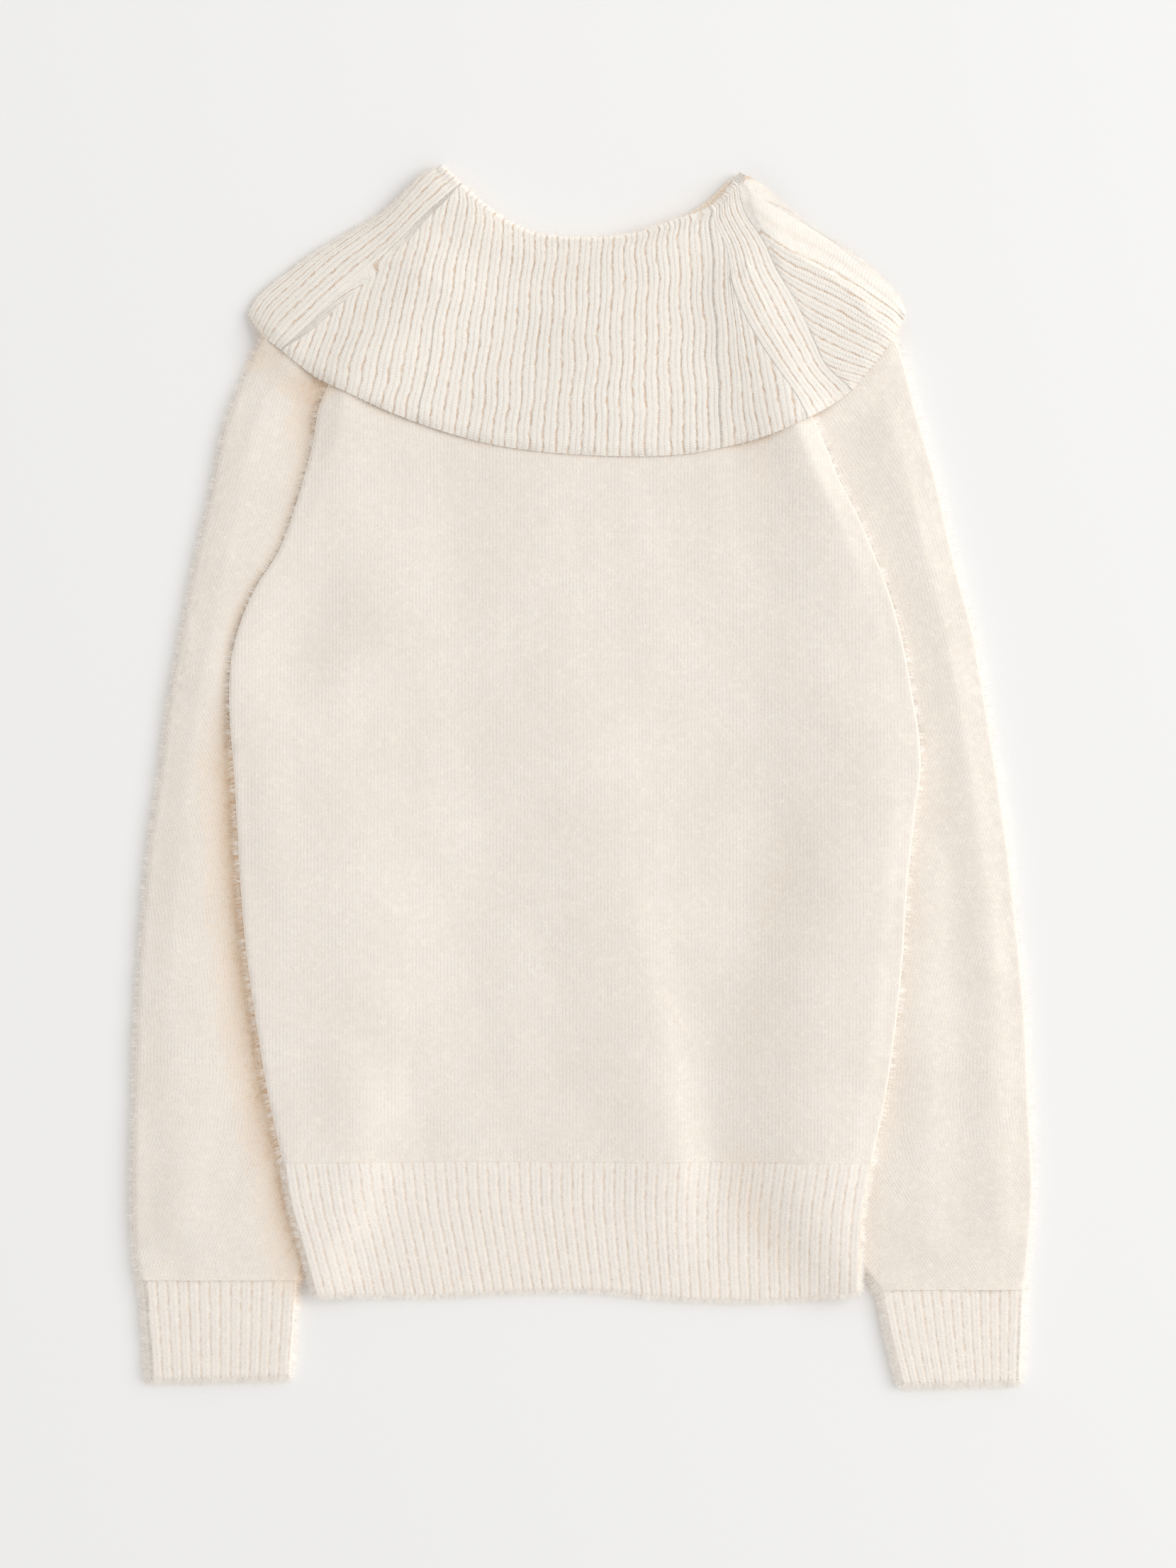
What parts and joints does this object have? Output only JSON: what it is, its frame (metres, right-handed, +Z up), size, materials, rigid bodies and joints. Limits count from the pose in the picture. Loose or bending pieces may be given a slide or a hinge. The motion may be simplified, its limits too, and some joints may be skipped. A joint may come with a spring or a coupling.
{
  "type": "sweater",
  "caption": "Cream knitted sweater laid flat, with a wide ribbed fold-over collar, raglan sleeves drawn down beside the body, rib cuffs and a deep rib hem.",
  "frame": {"origin": "on the surface that the sweater lies on, under the middle of its outline", "axes": "+Z up from the surface, +Y towards the neck, +X to the right as it is seen from above"},
  "size_m": [0.5692, 0.7739, 0.0267],
  "materials": {
    "body_knit": "brushed cream jersey, matt and fluffy",
    "sleeve_knit": "brushed cream jersey, matt and fluffy",
    "rib": "cream wide rib, lightly brushed",
    "collar_rib": "cream wide rib, crisp and a little warmer than the body"
  },
  "bodies": {
    "root": {"front_panel": "body_knit", "back_panel": "body_knit", "left_sleeve": "sleeve_knit", "right_sleeve": "sleeve_knit", "left_cuff": "rib", "right_cuff": "rib", "front_hem": "rib", "back_hem": "rib", "front_collar": "collar_rib", "back_collar": "collar_rib"}
  },
  "joints": []
}
